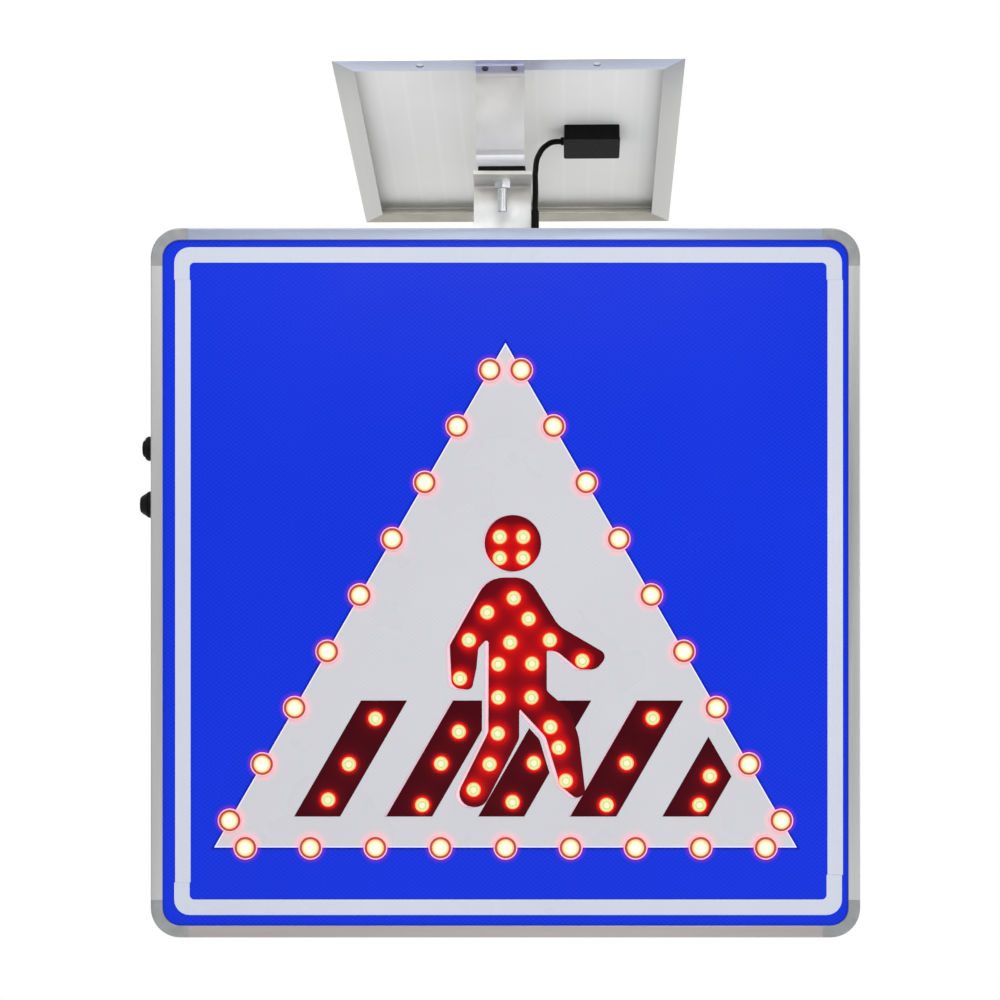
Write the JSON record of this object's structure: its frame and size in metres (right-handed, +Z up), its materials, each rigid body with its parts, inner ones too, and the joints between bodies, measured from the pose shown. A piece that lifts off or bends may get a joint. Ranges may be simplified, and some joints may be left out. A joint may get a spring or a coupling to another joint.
{
  "type": "solar led pedestrian crossing sign",
  "caption": "Square lit crossing sign: white triangle with a walking figure on a blue aluminium box, solar panel on a swivelling bracket above.",
  "frame": {"origin": "centre of the four rear studs, in the plane where the rear channels end", "axes": "+X to the right of the lit face as read, +Y to the rear along the studs, +Z up"},
  "size_m": [0.6143, 0.2993, 0.748],
  "materials": {
    "box_aluminium": "satin",
    "corner_grey": "satin",
    "rivet_aluminium": "satin",
    "plain_aluminium": "mill",
    "blue_film": "retroreflective",
    "white_film": "retroreflective",
    "red_acrylic": "polished",
    "red_acrylic_backing": "polished",
    "bezel_plastic": "polished",
    "edge_lens": "polished",
    "symbol_lens": "polished",
    "circuit_board": "satin",
    "spacer_plastic": "satin",
    "black_rubber": "matt",
    "zinc_steel": "zinc plated",
    "battery_wrap": "shrink wrap",
    "galvanised_steel": "galvanised",
    "brass": "plain",
    "red_lead": "satin",
    "black_plastic": "satin",
    "cable_sheath": "satin",
    "panel_aluminium": "anodised",
    "panel_glass": "textured",
    "solar_cell": "polished",
    "white_backsheet": "satin"
  },
  "bodies": {
    "sign_box": {"frame_rail_top": "box_aluminium", "frame_rail_bottom": "box_aluminium", "frame_rail_left": "box_aluminium", "frame_rail_right": "box_aluminium", "corner_pieces": "corner_grey", "corner_rivets": "rivet_aluminium", "face_plate": "plain_aluminium", "blue_sheeting": "blue_film", "border_strips": "white_film", "triangle_film": "white_film", "walker_window": "red_acrylic", "stripe_windows": "red_acrylic", "window_backing": "red_acrylic_backing", "edge_led_bezels": "bezel_plastic", "edge_led_lenses": "edge_lens", "symbol_led_lenses": "symbol_lens", "edge_led_boards": "circuit_board", "symbol_led_board": "circuit_board", "board_spacers": "spacer_plastic", "gasket": "black_rubber", "back_cover": "plain_aluminium", "cover_screws": "zinc_steel", "battery_pack": "battery_wrap", "battery_bracket": "galvanised_steel", "controller_board": "circuit_board", "controller_standoffs": "brass", "inner_wiring": "red_lead", "switch_body": "black_plastic", "switch_nut": "black_plastic", "socket_body": "black_plastic", "socket_nut": "black_plastic", "cable_gland": "black_plastic", "gland_nut": "black_plastic", "upright": "galvanised_steel", "upright_bolts": "zinc_steel", "channel_upper": "plain_aluminium", "channel_lower": "plain_aluminium", "channel_rivets": "rivet_aluminium"},
    "solar_panel": {"strap": "galvanised_steel", "rubber_pad": "black_rubber", "swivel_bolt": "zinc_steel", "swivel_nut": "zinc_steel", "swivel_washer": "rivet_aluminium", "strap_screws": "zinc_steel", "panel_rail_front": "panel_aluminium", "panel_rail_rear": "panel_aluminium", "panel_rail_left": "panel_aluminium", "panel_rail_right": "panel_aluminium", "panel_glass": "panel_glass", "solar_cells": "solar_cell", "backsheet": "white_backsheet", "junction_box": "black_plastic", "junction_lid": "black_plastic", "panel_cable": "cable_sheath"},
    "button": {"switch_button": "black_plastic"},
    "socket_cap": {"charge_cap": "black_plastic"},
    "slide_upper_left": {"stud_upper_left": "zinc_steel"},
    "slide_upper_right": {"stud_upper_right": "zinc_steel"},
    "slide_lower_left": {"stud_lower_left": "zinc_steel"},
    "slide_lower_right": {"stud_lower_right": "zinc_steel"}
  },
  "joints": [
    {"name": "panel_swivel", "type": "hinge", "parent": "sign_box", "child": "solar_panel", "pos_m": [-0.0025, -0.048, 0.348], "axis": [0, 0, 1], "range_deg": [-90, 40], "deforming": ["panel_cable"]},
    {"name": "switch_press", "type": "slide", "parent": "sign_box", "child": "button", "axis": [1, 0, 0], "range_m": [0, 0.002], "stiffness_N_per_m": 800},
    {"name": "cap_pull", "type": "slide", "parent": "sign_box", "child": "socket_cap", "axis": [-1, 0, 0], "range_m": [0, 0.01]},
    {"name": "upper_left_slide", "type": "slide", "parent": "sign_box", "child": "slide_upper_left", "axis": [1, 0, 0], "range_m": [-0.08, 0.08]},
    {"name": "upper_right_slide", "type": "slide", "parent": "sign_box", "child": "slide_upper_right", "axis": [1, 0, 0], "range_m": [-0.08, 0.08]},
    {"name": "lower_left_slide", "type": "slide", "parent": "sign_box", "child": "slide_lower_left", "axis": [1, 0, 0], "range_m": [-0.08, 0.08]},
    {"name": "lower_right_slide", "type": "slide", "parent": "sign_box", "child": "slide_lower_right", "axis": [1, 0, 0], "range_m": [-0.08, 0.08]}
  ]
}
